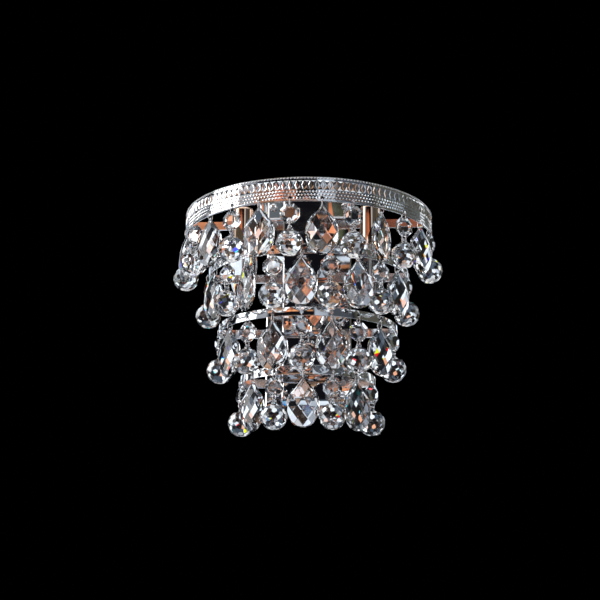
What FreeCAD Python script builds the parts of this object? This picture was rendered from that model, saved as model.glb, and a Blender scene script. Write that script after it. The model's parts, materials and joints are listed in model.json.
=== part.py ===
"""Half-round wall light with four stepped tiers of hanging crystals.

Millimetres.  The wall is the plane Y = 0 and the light stands out from it towards -Y, Z is up, and the
origin lies on the wall midway between the two fixing screws of the wall bracket.
"""
import FreeCAD, Part
import math
import os
from FreeCAD import Placement, Rotation, Vector

doc = FreeCAD.newDocument("crystal_wall_light")

# --------------------------------------------------------------------------------------------------
# Driving dimensions
# --------------------------------------------------------------------------------------------------
SIZES = {
    # back plate, a shallow tray that covers the wall bracket
    "plate_aside": 7, "plate_under": 30.5, "plate_deep": 14, "plate_wall": 1.2, "plate_rim": 1.5,
    "plate_bevel": 1.5, "plate_over": 24, "lead_bore": 12,
    # wall bracket, its two studs and the dome nuts that hold the back plate
    "bracket_gap": 0.5, "bracket_high": 20, "bracket_thick": 2.5, "stud_spread": 88, "stud_across": 4,
    "stud_past": 4, "stud_fit": 0.25, "fixing_spread": 70, "fixing_bore": 4.6,
    "nut_across": 9, "nut_collar": 3,
    # lamp box in the middle of the light
    "box_wide": 53, "box_deep": 56, "box_under": 25.5, "box_over": 8, "box_wall": 1.2, "box_bevel": 1.5,
    # bands and the flat bars that close them at the back
    "stand_off": 20, "band_thick": 1.2, "band_high": 10, "crown_high": 28, "rim_high": 3, "rim_reach": 0.8,
    "bar_thick": 3, "bar_fit": 0.3,
    "top_radius": 148, "second_radius": 119.5, "third_radius": 106, "fourth_radius": 79.5,
    "top_edge": -46.5, "second_edge": -96.5, "third_edge": -165, "fourth_edge": -225.5,
    "top_step": 13.74, "second_step": 15.83, "third_step": 18.12, "fourth_step": 24.4, "top_turn": -4.2,
    "hole_rise": 3.8, "hole_across": 3.6,
    # screws that hold the bars
    "screw_head": 7, "screw_cap": 2.4, "screw_shank": 3.8, "screw_past": 3, "screw_fit": 0.3,
    "screw_aside": 3,
    # wire links
    "link_reach": 4.6, "link_wide": 8, "link_wire": 1.2, "link_drop": 0.6, "link_rest": 0.4,
    "drill_across": 3,
    # octagon crystal
    "octagon_across": 22, "octagon_table": 12.5, "octagon_thick": 8, "octagon_inset": 2.8,
    # ball crystal
    "ball_across": 30, "ball_neck": 8.6, "ball_top": 4.6, "ball_cap": 4.8, "ball_inset": 3,
    # almond crystal
    "almond_tall": 58.2, "almond_wide": 36.6, "almond_crown": 5, "almond_edge": 0.9, "almond_inset": 3.2,
    # lamp arms, lampholders and bulbs
    "lamp_spread": 150, "lamp_reach": 58, "arm_across": 10, "arm_bore": 7, "arm_bend": 12, "arm_level": -4,
    "arm_inside": 8, "arm_stub": 6, "arm_fit": 0.3,
    "holder_across": 26, "holder_tall": 50, "holder_bevel": 3, "holder_deep": 26,
    "cap_across": 13.8, "cap_tall": 22, "cap_fit": 0.3,
    "bulb_across": 35, "bulb_tall": 76, "bulb_neck": 17, "bulb_gap": 0.3,
}
FULL_TURN = 360
HANG_SIDES = 8
SCREW_SIDES = 6
DRILL_SIDES = 4
ROUND_SIDES = 12
BAND_FLATS = 36
BEND_STEPS = 3

dims = doc.addObject("Spreadsheet::Sheet", "dims")
for row, (alias, value) in enumerate(SIZES.items(), start=1):
    dims.set(f"A{row}", alias)
    dims.set(f"B{row}", str(value))
    dims.setAlias(f"B{row}", alias)
doc.recompute()


def d(alias):
    """Value of one driving dimension."""
    return float(dims.get(alias))


def bind(thing, **sizes):
    """Bind properties of a document object to expressions in the driving dimensions.

    Every bare word of an expression that names a driving dimension is read from the sheet.
    """
    for prop, text in sizes.items():
        thing.setExpression(prop.replace("__", "."), sheet_terms(text))
    return thing


def sheet_terms(text):
    """Put the sheet's name before each driving dimension in an expression."""
    word = ""
    out = ""
    for char in str(text) + " ":
        if char.isalnum() or char == "_":
            word += char
            continue
        out += f"dims.{word}" if word in SIZES else word
        out += char
        word = ""
    return out.strip()


def place(thing, x="0", y="0", z="0", yaw="0", pitch="0", roll="0"):
    """Bind the placement of an object: a point, then a turn about Z, Y and X in degrees."""
    text = f"placement(vector({x}; {y}; {z}); rotation({yaw}; {pitch}; {roll}))"
    thing.setExpression("Placement", sheet_terms(text))
    return thing


def cut(name, base, tools):
    """Base object with every tool object taken away."""
    for number, tool in enumerate(tools, start=1):
        step = doc.addObject("Part::Cut", f"{name}_cut{number}")
        step.Base = base
        step.Tool = tool
        base = step
    return base


def half_facet(sides):
    """Half the angle, in degrees, that one side of a regular outline takes."""
    return FULL_TURN / (2 * sides)


def circum(across, sides):
    """Expression for the radius of a regular outline's corners from the distance across its flats."""
    return f"({across}) / 2 / cos({half_facet(sides)} * 1 deg)"


def prism(name, across, long, sides=HANG_SIDES, **spot):
    """Bar with flat sides, measured between opposite flats, that starts at its placement."""
    bar = doc.addObject("Part::Prism", name)
    bar.Polygon = sides
    bind(bar, Circumradius=circum(across, sides), Height=long)
    return place(bar, **spot)


def box_round(name, along, across, high):
    """Box with its middle at the origin, its sides along X, Y and Z."""
    block = doc.addObject("Part::Box", name)
    bind(block, Length=along, Width=across, Height=high)
    return place(block, x=f"-({along}) / 2", y=f"-({across}) / 2", z=f"-({high}) / 2")


def corners(height, across, sides, turned=False):
    """Corners of a regular outline at a height, its flats to the front or, if turned, its corners."""
    facet = math.radians(half_facet(sides))
    radius = across / 2 / math.cos(facet)
    turns = [(2 * number + (not turned)) * facet for number in range(sides)]
    return [Vector(radius * math.cos(turn), radius * math.sin(turn), height) for turn in turns]


def flat_face(points):
    """Flat face through the given corners."""
    return Part.Face(Part.makePolygon(points + points[:1]))


def solid_of(name, faces):
    """Solid inside a closed skin of flat faces."""
    thing = doc.addObject("Part::Feature", name)
    thing.Shape = Part.makeSolid(Part.makeShell(faces))
    return thing


def skin(name, rings):
    """Solid with a four-sided face between each two neighbouring corners of rings that follow one another."""
    faces = [flat_face(rings[0]), flat_face(rings[-1])]
    for low, high in zip(rings, rings[1:]):
        faces += [flat_face([low[side - 1], low[side], high[side], high[side - 1]])
                  for side in range(len(low))]
    return solid_of(name, faces)


def turned_form(name, sections, sides):
    """Solid with flat sides through regular outlines along Z, given as pairs of (height, across flats)."""
    return skin(name, [corners(height, across, sides) for height, across in sections])


def cut_ball(name, sections):
    """Stone whose belts are ground into triangles: every other outline along Z is turned by half a side."""
    rings = [corners(height, across, HANG_SIDES, number % 2)
             for number, (height, across) in enumerate(sections)]
    faces = [flat_face(rings[0]), flat_face(rings[-1])]
    for number, (low, high) in enumerate(zip(rings, rings[1:])):
        for side in range(HANG_SIDES):
            after = (side + 1) % HANG_SIDES
            if number % 2:
                faces.append(flat_face([low[side], low[after], high[side]]))
                faces.append(flat_face([high[side], high[side - 1], low[side]]))
            else:
                faces.append(flat_face([low[side], low[after], high[after]]))
                faces.append(flat_face([high[side], high[after], low[side]]))
    return solid_of(name, faces)


def group(name, members):
    """Several separate solids as one object."""
    whole = doc.addObject("Part::Compound", name)
    whole.Links = members
    return whole


def feature(body, kind, name, sizes, **spot):
    """Add a PartDesign primitive with bound sizes and place to a body."""
    shape = body.newObject(f"PartDesign::{kind}", name)
    bind(shape, **sizes)
    return place(shape, **spot)


def new_body(name):
    """Empty PartDesign body."""
    return doc.addObject("PartDesign::Body", name)


# --------------------------------------------------------------------------------------------------
# Crystals: prototypes in a frame whose origin is the hinge point in the band, with -Y outwards
# --------------------------------------------------------------------------------------------------
def make_link(name, top):
    """Closed link of square wire in the plane across the band, its top wire at the given height."""
    outer = box_round(f"{name}_outer", "link_wire", "link_wide", "2 * link_reach + link_wire")
    inner = box_round(f"{name}_inner", "3 * link_wire", "link_wide - 2 * link_wire",
                      "2 * link_reach - link_wire")
    return place(cut(name, outer, [inner]), z=f"{top} - link_reach")


def make_octagon(name):
    """Flat eight-sided crystal: tables front and back, bevels that meet at its edge, a hole at each end."""
    half = d("octagon_thick") / 2
    across = d("octagon_across")
    table = d("octagon_table")
    stone = turned_form(f"{name}_stone", [(-half, table), (0, across), (half, table)], HANG_SIDES)
    reach = "(octagon_across / 2 - octagon_inset)"
    holes = [prism(f"{name}_hole{number}", "drill_across", "2 * octagon_thick", DRILL_SIDES,
                   y=f"{side}{reach}", z="-octagon_thick", yaw=half_facet(DRILL_SIDES))
             for number, side in enumerate(("", "-"), start=1)]
    return place(cut(name, stone, holes), z=f"{OCTAGON_HOLE} - {reach}", roll="90")


def make_ball(name):
    """Faceted ball with a drawn-out cap that the link passes through."""
    radius = d("ball_across") / 2
    belts = [(-math.sin(math.radians(fall)) * radius, 2 * math.cos(math.radians(fall)) * radius)
             for fall in BALL_BELTS]
    cap = [(0.95 * radius, d("ball_neck")), (radius + d("ball_cap"), d("ball_top"))]
    stone = cut_ball(f"{name}_stone", belts + cap)
    rise = "(ball_across / 2 + ball_cap - ball_inset)"
    hole = prism(f"{name}_hole", "drill_across", "ball_across", DRILL_SIDES, y="ball_across / 2", z=rise,
                 pitch=half_facet(DRILL_SIDES), roll="90")
    return place(cut(name, stone, [hole]), z=f"{BALL_HOLE} - {rise}")


BALL_BELTS = (77, 42, 0, -42)
ALMOND_CORNERS = 12
ALMOND_POINT = 0.35
LOZENGE = 1 / 3
LOZENGE_ROWS = 2


def almond_half_width(turn):
    """Half width of the almond outline, as a share of its largest, at a turn of 0 (point) to 180 degrees."""
    return math.sin(turn) * math.sin(turn / 2) ** ALMOND_POINT


def almond_outline():
    """Corners of the almond outline round its middle, the pointed end up."""
    turns = [2 * math.pi * number / ALMOND_CORNERS for number in range(ALMOND_CORNERS)]
    widest = max(almond_half_width(turn) for turn in turns if turn < math.pi)
    corners = []
    for turn in turns:
        side = 1 if turn <= math.pi else -1
        share = almond_half_width(turn if side > 0 else 2 * math.pi - turn) / widest
        corners.append(Vector(side * share * d("almond_wide") / 2, 0, math.cos(turn) * d("almond_tall") / 2))
    return corners


def lozenge_plane(across, up):
    """Placement on the front of the almond where a lozenge is ground, its Z axis pointing out of the stone.

    The planes touch a lens at the points of a square lattice that stands on its corner, so that the ground
    faces meet in upright lozenges.
    """
    half_wide = d("almond_wide") / 2
    half_tall = d("almond_tall") / 2
    crown = d("almond_crown")
    depth = crown * (1 - across ** 2 - up ** 2) + d("almond_edge")
    touch = Vector(across * half_wide, -depth, up * half_tall)
    outward = Vector(2 * crown * across / half_wide, -1, 2 * crown * up / half_tall)
    return Placement(touch, Rotation(Vector(0, 0, 1), outward))


def make_almond(name):
    """Flat pointed crystal with ground lozenges on both faces and a hole under its point."""
    outline = doc.addObject("Part::Polygon", f"{name}_outline")
    outline.Nodes = almond_outline()
    outline.Close = True
    blank = doc.addObject("Part::Extrusion", f"{name}_blank")
    blank.Base = outline
    blank.DirMode = "Custom"
    blank.Dir = Vector(0, 1, 0)
    blank.Solid = True
    blank.Symmetric = True
    bind(blank, LengthFwd="3 * (almond_crown + almond_edge)")
    wheels = []
    for column in range(-LOZENGE_ROWS, LOZENGE_ROWS + 1):
        for line in range(-LOZENGE_ROWS, LOZENGE_ROWS + 1):
            if (column + line) % 2:
                continue
            wheel = doc.addObject("Part::Box", f"{name}_wheel")
            bind(wheel, Length="2 * almond_tall", Width="2 * almond_tall", Height="almond_tall")
            middle = Placement(Vector(-d("almond_tall"), -d("almond_tall"), 0), Rotation())
            wheel.Placement = lozenge_plane(column * LOZENGE, line * LOZENGE) * middle
            wheels.append(wheel)
    ground = cut(f"{name}_front", blank, wheels)
    back = doc.addObject("Part::Mirroring", f"{name}_back")
    back.Source = ground
    back.Normal = Vector(0, 1, 0)
    stone = doc.addObject("Part::Common", f"{name}_stone")
    stone.Base = ground
    stone.Tool = back
    hole = prism(f"{name}_hole", "drill_across", "almond_tall", DRILL_SIDES, y="almond_tall / 2",
                 z="almond_tall / 2 - almond_inset", pitch=half_facet(DRILL_SIDES), roll="90")
    return place(cut(name, stone, [hole]), z=f"{ALMOND_HOLE} - almond_tall / 2 + almond_inset")


OCTAGON_HOLE = "(link_rest - 2 * link_reach)"
OCTAGON_FOOT = f"({OCTAGON_HOLE} - octagon_across + 2 * octagon_inset)"
BALL_HOLE = f"({OCTAGON_FOOT} + 2 * link_rest - 2 * link_reach)"
ALMOND_HOLE = OCTAGON_HOLE

upper_link = make_link("upper_link", "0")
lower_link = make_link("lower_link", f"{OCTAGON_FOOT} + link_rest")
octagon = make_octagon("octagon")
ball = make_ball("ball")
almond = make_almond("almond")
STRINGS = {"ball": [upper_link, octagon, lower_link, ball], "almond": [upper_link, almond]}

# --------------------------------------------------------------------------------------------------
# Tiers: how many strings hang from each band, and its height and the turn of its row of holes
# --------------------------------------------------------------------------------------------------
STRING_COUNTS = {"top": 13, "second": 11, "third": 9, "fourth": 7}
TIERS = {"top": ("crown_high", "top_turn"), "second": ("band_high", "0"), "third": ("band_high", "0"),
         "fourth": ("band_high", "0")}
BAR_FRONT = "(plate_deep + bar_thick)"
STUD_PLACE = "stud_spread / 2"
SCREW_PLACE = "(stud_spread / 2 - screw_aside)"


def strip_side(radius, leg):
    """Corners of one side of a D-shaped strip seen from above, from its left end to its right end."""
    turns = [math.pi * (flat / BAND_FLATS - 0.5) for flat in range(BAND_FLATS + 1)]
    bow = [Vector(radius * math.sin(turn), -radius * math.cos(turn), 0) for turn in turns]
    return [Vector(-radius, leg, 0)] + bow + [Vector(radius, leg, 0)]


def strip(name, outside, thick, high):
    """D-shaped strip that stands on Z = 0, rolled to a half circle in BAND_FLATS short flats."""
    leg = d("stand_off") - d("plate_deep") - d("bar_thick")
    outline = doc.addObject("Part::Polygon", f"{name}_outline")
    outline.Nodes = strip_side(outside, leg) + strip_side(outside - thick, leg)[::-1]
    outline.Close = True
    wall = doc.addObject("Part::Extrusion", name)
    wall.Base = outline
    wall.DirMode = "Custom"
    wall.Dir = Vector(0, 0, 1)
    wall.Solid = True
    return bind(wall, LengthFwd=high)


def make_band(tier, count, high, turn):
    """Band of one tier with a square hole for each link, and a rim along the foot of the tall top one."""
    radius = d(f"{tier}_radius")
    band = strip(f"{tier}_wall", radius, d("band_thick"), high)
    if high == "crown_high":
        rim = strip(f"{tier}_rim", radius + d("rim_reach"), d("band_thick") + d("rim_reach"), "rim_high")
        wall = band
        band = doc.addObject("Part::Fuse", f"{tier}_crown")
        band.Base = wall
        band.Tool = rim
    holes = []
    for number in range(count):
        hole = box_round(f"{tier}_hole{number + 1}", "hole_across", "6 * band_thick", "hole_across")
        angle = hook_angle(tier, number - (count - 1) / 2, turn)
        frame = group(f"{tier}_hole_place{number + 1}", [hole])
        holes.append(place(frame, x=f"{tier}_radius * sin({angle} * 1 deg)",
                           y=f"-{tier}_radius * cos({angle} * 1 deg)", z="hole_rise", yaw=angle))
    return place(cut(f"{tier}_band", band, [group(f"{tier}_holes", holes)]), y="-stand_off", z=f"{tier}_edge")


def hook_angle(tier, station, turn):
    """Expression for the angle round the band, in degrees, of the hole that many steps from the middle."""
    return f"({turn} + ({station}) * {tier}_step)"


def bar_level(tier, high):
    """Height of the middle of a tier's back bar: flush with the top of its band."""
    return f"({tier}_edge + {high} - band_high / 2)"


def make_bar(tier, high):
    """Flat bar that closes a band at the back, with a hole for each of its two screws."""
    bar = doc.addObject("Part::Box", f"{tier}_bar_strip")
    bind(bar, Length=f"2 * {tier}_radius", Width="bar_thick", Height="band_high")
    place(bar, x=f"-{tier}_radius", y=f"-{BAR_FRONT}", z=f"{bar_level(tier, high)} - band_high / 2")
    holes = [prism(f"{tier}_bar_hole", "screw_shank + 2 * screw_fit", "3 * bar_thick", SCREW_SIDES,
                   x=f"{side}{SCREW_PLACE}", y=f"-{BAR_FRONT} + 2 * bar_thick",
                   z=bar_level(tier, high), roll="90") for side in ("", "-")]
    return cut(f"{tier}_bar", bar, holes)


def hang(tier, kind, number, station, turn):
    """One string of crystals, hung in its hole of the band."""
    angle = hook_angle(tier, station, turn)
    string = group(f"{tier}_{kind}_{number}", STRINGS[kind])
    reach = f"({tier}_radius - band_thick / 2)"
    return place(string, x=f"{reach} * sin({angle} * 1 deg)", y=f"-stand_off - {reach} * cos({angle} * 1 deg)",
                 z=f"{tier}_edge + hole_rise - link_drop", yaw=angle)


nodes = {}
bar_levels = []
for tier, (high, turn) in TIERS.items():
    count = STRING_COUNTS[tier]
    nodes[f"{tier}_band"] = make_band(tier, count, high, turn)
    nodes[f"{tier}_back_bar"] = make_bar(tier, high)
    bar_levels.append(bar_level(tier, high))
    for place_number in range(count):
        kind = "almond" if place_number % 2 else "ball"
        number = place_number // 2 + 1
        station = place_number - (count - 1) / 2
        nodes[f"{tier}_{kind}_{number}"] = hang(tier, kind, number, station, turn)

# --------------------------------------------------------------------------------------------------
# Back plate and what fixes it to the wall
# --------------------------------------------------------------------------------------------------
SIDES = {"right": "", "left": "-"}
FRONT_OF_PLATE = "-plate_deep"
PLATE_WIDTH = "(stud_spread + 2 * plate_aside)"
PLATE_TALL = "(plate_over + plate_under - fourth_edge)"


def bevel_front(body, base, name, size, front):
    """Chamfer the edges of a body's base that lie wholly in the plane Y = front."""
    kept = [f"Edge{number}" for number, edge in enumerate(base.Shape.Edges, start=1)
            if all(abs(corner.Y - front) < 1e-6 for corner in edge.Vertexes)]
    bevel = body.newObject("PartDesign::Chamfer", name)
    bevel.Base = (base, kept)
    return bind(bevel, Size=size)


def drilled(body, name, across, long, sides=HANG_SIDES, **spot):
    """Drill a hole with flat sides through a body."""
    hole = feature(body, "SubtractivePrism", name, {"Circumradius": circum(across, sides), "Height": long},
                   **spot)
    hole.Polygon = sides
    return hole


def make_plate():
    """Shallow bevelled tray with stud holes, a lead hole and holes for the screws of the bars."""
    body = new_body("wall_plate")
    shell = feature(body, "AdditiveBox", "plate_shell",
                    {"Length": PLATE_WIDTH, "Width": "plate_deep", "Height": PLATE_TALL},
                    x=f"-{PLATE_WIDTH} / 2", y=FRONT_OF_PLATE, z=f"plate_over - {PLATE_TALL}")
    doc.recompute()
    bevel_front(body, shell, "plate_edges", "min(plate_bevel; plate_wall + plate_rim / 2)", -d("plate_deep"))
    feature(body, "SubtractiveBox", "plate_hollow",
            {"Length": f"{PLATE_WIDTH} - 2 * plate_rim", "Width": "plate_deep",
             "Height": f"{PLATE_TALL} - 2 * plate_rim"},
            x=f"plate_rim - {PLATE_WIDTH} / 2", y="plate_wall - plate_deep",
            z=f"plate_over - {PLATE_TALL} + plate_rim")
    drill = {"long": "4 * plate_wall", "y": "2 * plate_wall - plate_deep", "roll": "90"}
    for side, sign in SIDES.items():
        drilled(body, f"plate_{side}_stud_hole", "stud_across + 2 * stud_fit",
                x=f"{sign}{STUD_PLACE}", **drill)
        for number, level in enumerate(bar_levels, start=1):
            drilled(body, f"plate_{side}_bar_hole{number}", "screw_shank + 2 * screw_fit", sides=SCREW_SIDES,
                    x=f"{sign}{SCREW_PLACE}", z=level, **drill)
    body.Tip = drilled(body, "plate_lead_hole", "lead_bore", **drill)
    return body


def round_bar(name, across, long, **spot):
    """Round bar that starts at its placement."""
    bar = doc.addObject("Part::Cylinder", name)
    bind(bar, Radius=f"({across}) / 2", Height=long)
    return place(bar, **spot)


def make_bracket():
    """Flat steel bracket with holes for the two wall screws, the two studs and the leads."""
    strap = doc.addObject("Part::Box", "bracket_strap")
    long = f"({PLATE_WIDTH} - 2 * plate_rim - 2 * bracket_gap)"
    bind(strap, Length=long, Width="bracket_thick", Height="bracket_high")
    place(strap, x=f"-{long} / 2", y="-bracket_thick", z="-bracket_high / 2")
    through = {"long": "3 * bracket_thick", "y": "bracket_thick", "roll": "90"}
    drills = [prism("bracket_lead_drill", "lead_bore", **through)]
    for side, sign in SIDES.items():
        drills.append(prism(f"bracket_{side}_stud_drill", "stud_across + 2 * stud_fit",
                            x=f"{sign}{STUD_PLACE}", **through))
        drills.append(round_bar(f"bracket_{side}_fixing_drill", "fixing_bore",
                                x=f"{sign}fixing_spread / 2", **through))
    return cut("bracket", strap, drills)


def make_studs():
    """The two studs that carry the back plate."""
    return group("bracket_studs", [prism(f"{side}_stud", "stud_across", "plate_deep + stud_past",
                                         x=f"{sign}{STUD_PLACE}", roll="90") for side, sign in SIDES.items()])


DOME_BELTS = (0, 40, 68)


def make_nut():
    """Dome nut: a collar with a half ball on it and a blind bore."""
    across = d("nut_across")
    rises = [math.radians(rise) for rise in DOME_BELTS]
    dome = [(d("nut_collar") + math.sin(rise) * across / 2, math.cos(rise) * across) for rise in rises]
    body = turned_form("nut_body", [(0, across)] + dome, ROUND_SIDES)
    return cut("nut", body, [prism("nut_bore", "stud_across + 2 * stud_fit", "stud_past + stud_fit")])


def make_nuts():
    """A dome nut on each stud, seated on the front of the back plate."""
    nut = make_nut()
    return group("dome_nuts", [place(group(f"{side}_nut", [nut]), x=f"{sign}{STUD_PLACE}", y=FRONT_OF_PLATE,
                                     roll="90") for side, sign in SIDES.items()])


def make_bar_screws():
    """Two screws through each back bar into the back plate."""
    head = prism("screw_head_part", "screw_head", "screw_cap", SCREW_SIDES)
    shank = prism("screw_shank_part", "screw_shank", "bar_thick + screw_past + screw_cap / 2", SCREW_SIDES,
                  z="-bar_thick - screw_past")
    screw = doc.addObject("Part::Fuse", "screw")
    screw.Base = head
    screw.Tool = shank
    row = [place(group(f"{side}_screw{number}", [screw]), x=f"{sign}{SCREW_PLACE}", y=f"-{BAR_FRONT}",
                 z=level, roll="90")
           for side, sign in SIDES.items() for number, level in enumerate(bar_levels, start=1)]
    return group("bar_screws", row)


# --------------------------------------------------------------------------------------------------
# Lamp box and lamps
# --------------------------------------------------------------------------------------------------
LAMP_LINE = {"y": "-lamp_reach"}
LAMP_PLACE = "lamp_spread / 2"
HOLDER_TOP = "(arm_level - arm_bend)"
BULB_BELLY = ((1, 0.08), (0.84, 0.45), (0.64, 0.85), (0.46, 1), (0.32, 0.97), (0.16, 0.78))
HOLDER_FOOT = f"({HOLDER_TOP} - holder_tall)"
BOX_TALL = "(box_over + box_under - fourth_edge)"


def make_lamp_box():
    """Tall box, open at the back, that stands on the back plate over the bars and carries the lamp arms."""
    body = new_body("lamp_box")
    front = "-(plate_deep + box_deep)"
    shell = feature(body, "AdditiveBox", "box_shell",
                    {"Length": "box_wide", "Width": "box_deep", "Height": BOX_TALL},
                    x="-box_wide / 2", y=front, z=f"box_over - {BOX_TALL}")
    doc.recompute()
    bevel_front(body, shell, "box_edges", "min(box_bevel; 1.5 * box_wall)", -d("plate_deep") - d("box_deep"))
    feature(body, "SubtractiveBox", "box_hollow",
            {"Length": "box_wide - 2 * box_wall", "Width": "box_deep", "Height": f"{BOX_TALL} - 2 * box_wall"},
            x="box_wall - box_wide / 2", y=f"{front} + box_wall", z=f"box_over - {BOX_TALL} + box_wall")
    for number, level in enumerate(bar_levels, start=1):
        feature(body, "SubtractiveBox", f"box_notch{number}",
                {"Length": "2 * box_wide", "Width": "2 * bar_thick + bar_fit",
                 "Height": "band_high + 2 * bar_fit"},
                x="-box_wide", y=f"-{BAR_FRONT} - bar_fit", z=f"{level} - band_high / 2 - bar_fit")
    body.Tip = drilled(body, "box_arm_holes", "arm_across + 2 * arm_fit", "2 * box_wide", x="-box_wide",
                       z="arm_level", pitch="90", **LAMP_LINE)
    return body


def bar_ring(centre, lean, stretch, across):
    """Corners of the arm's outline round a point, in a plane along Y that leans from upright by an angle."""
    upward = Vector(math.sin(lean), 0, math.cos(lean)) * stretch
    outline = corners(0, across, HANG_SIDES, turned=True)
    return [centre + upward * corner.x + Vector(0, corner.y, 0) for corner in outline]


def bent_bar(name, across):
    """Bar from inside the lamp box out to the lamp and down into its holder, bent in BEND_STEPS mitres."""
    bend = d("arm_bend")
    start = Vector(d("box_wide") / 2 - d("box_wall") - d("arm_inside"), -d("lamp_reach"), d("arm_level"))
    pivot = Vector(d("lamp_spread") / 2 - bend, start.y, start.z - bend)
    rings = [bar_ring(start, 0, 1, across)]
    mitre = math.pi / (4 * BEND_STEPS)
    stretch = 1 / math.cos(mitre)
    for step in range(BEND_STEPS):
        lean = (2 * step + 1) * mitre
        corner = pivot + Vector(math.sin(lean), 0, math.cos(lean)) * bend * stretch
        rings.append(bar_ring(corner, lean, stretch, across))
    foot = pivot + Vector(bend, 0, -d("arm_stub"))
    rings.append(bar_ring(foot, math.pi / 2, 1, across))
    return skin(name, rings)


def make_arm():
    """Bent tube that carries one lamp."""
    return cut("arm", bent_bar("arm_outside", d("arm_across")), [bent_bar("arm_inside_of", d("arm_bore"))])


def make_holder():
    """Lampholder: a sleeve with a bevelled shoulder, a hole for the arm and a socket for the bulb's cap."""
    across = d("holder_across")
    tall = d("holder_tall")
    bevel = d("holder_bevel")
    outside = [(0, across), (tall - bevel, across), (tall, across - 2 * bevel)]
    sleeve = turned_form("holder_sleeve", outside, ROUND_SIDES)
    socket = prism("holder_socket", "cap_across + 2 * cap_fit", "holder_deep", ROUND_SIDES)
    arm_hole = prism("holder_arm_hole", "arm_across + 2 * arm_fit", "arm_stub + arm_fit",
                     z="holder_tall - arm_stub - arm_fit")
    return place(cut("holder", sleeve, [socket, arm_hole]), x=LAMP_PLACE, z=HOLDER_FOOT, **LAMP_LINE)


def make_bulb():
    """Candle bulb, tip down: the glass, and the cap that sits in the lampholder."""
    tall = d("bulb_tall")
    belly = [(-fall * tall, share * d("bulb_across")) for fall, share in BULB_BELLY]
    glass = turned_form("bulb_glass", belly + [(0, d("bulb_neck"))], ROUND_SIDES)
    cap = prism("bulb_cap", "cap_across", "cap_tall", ROUND_SIDES)
    return place(group("bulb", [glass, cap]), x=LAMP_PLACE, z=f"{HOLDER_FOOT} - bulb_gap", **LAMP_LINE)


def both_sides(name, thing):
    """A piece on the right and its mirror image on the left."""
    twin = doc.addObject("Part::Mirroring", f"left_{name}")
    twin.Source = thing
    twin.Normal = Vector(1, 0, 0)
    return {f"right_{name}": thing, f"left_{name}": twin}


nodes.update({"wall_plate": make_plate(), "wall_bracket": make_bracket(), "bracket_studs": make_studs(),
              "dome_nuts": make_nuts(), "bar_screws": make_bar_screws(), "lamp_box": make_lamp_box()})
nodes.update(both_sides("lamp_arm", make_arm()))
nodes.update(both_sides("lampholder", make_holder()))
nodes.update(both_sides("bulb", make_bulb()))

# --------------------------------------------------------------------------------------------------
# Check and write
# --------------------------------------------------------------------------------------------------
doc.recompute()
for thing in doc.Objects:
    if "Invalid" in thing.State or "Error" in thing.State:
        raise RuntimeError(f"{thing.Name} did not build: {thing.State}")
os.makedirs("parts", exist_ok=True)
for name, thing in nodes.items():
    shape = thing.Shape
    if shape.isNull() or not shape.isValid() or not shape.Solids:
        raise RuntimeError(f"{name} has no sound solid")
    thing.Label = name
    shape.exportStep(f"parts/{name}.step")
    print(name, len(shape.Solids), len(shape.Faces), round(shape.Volume, 1))
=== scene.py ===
"""Looks of a half-round crystal wall light: its chrome bands, cut crystals, wire links and lamps.

Metres, in the frame's own axes: the wall is Y = 0, the light stands out towards -Y and Z is up.
"""

import json
import logging
import math
from collections.abc import Iterator, Sequence
from contextlib import contextmanager
from dataclasses import dataclass
from enum import Enum

import bpy
from mathutils import Matrix, Vector


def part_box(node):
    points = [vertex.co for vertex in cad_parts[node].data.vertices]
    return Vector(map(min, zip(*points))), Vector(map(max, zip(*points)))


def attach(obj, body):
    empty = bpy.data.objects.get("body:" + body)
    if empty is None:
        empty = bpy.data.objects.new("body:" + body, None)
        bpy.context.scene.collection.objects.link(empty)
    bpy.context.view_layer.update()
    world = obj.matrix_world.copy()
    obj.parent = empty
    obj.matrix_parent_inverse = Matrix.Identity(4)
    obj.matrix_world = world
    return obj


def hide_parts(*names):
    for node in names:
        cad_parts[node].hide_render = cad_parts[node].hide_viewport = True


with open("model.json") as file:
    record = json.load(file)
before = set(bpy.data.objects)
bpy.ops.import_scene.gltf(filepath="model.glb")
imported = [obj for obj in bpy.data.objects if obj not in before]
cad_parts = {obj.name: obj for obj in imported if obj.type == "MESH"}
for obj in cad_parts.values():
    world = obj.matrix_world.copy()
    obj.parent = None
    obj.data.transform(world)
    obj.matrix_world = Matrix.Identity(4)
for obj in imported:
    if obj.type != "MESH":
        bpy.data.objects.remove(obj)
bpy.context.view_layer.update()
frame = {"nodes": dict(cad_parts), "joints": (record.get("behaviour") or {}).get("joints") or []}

log = logging.getLogger("crystal_wall_light")
ROOT_BODY = "frame"
MM = 0.001

Number = float | int
Triple = tuple[float, float, float]
Colour = Triple
Plane = tuple[Vector, Vector]
Piece = bpy.types.Object
Socket = bpy.types.NodeSocket
Node = bpy.types.Node
Tree = bpy.types.NodeTree
Profile = tuple[tuple[float, float], ...]
MERGE = 1e-6
QUARTER = math.pi / 2
SQUARE_STEP = 0.01 * MM


class Slot(Enum):
    """Material slots of the record."""

    CHROME = "chrome"
    CRYSTAL = "crystal"
    STEEL = "steel"
    BULB_GLASS = "bulb_glass"


class Kind(Enum):
    """The two kinds of string that hang from the bands."""

    BALL = "ball"
    ALMOND = "almond"


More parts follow.
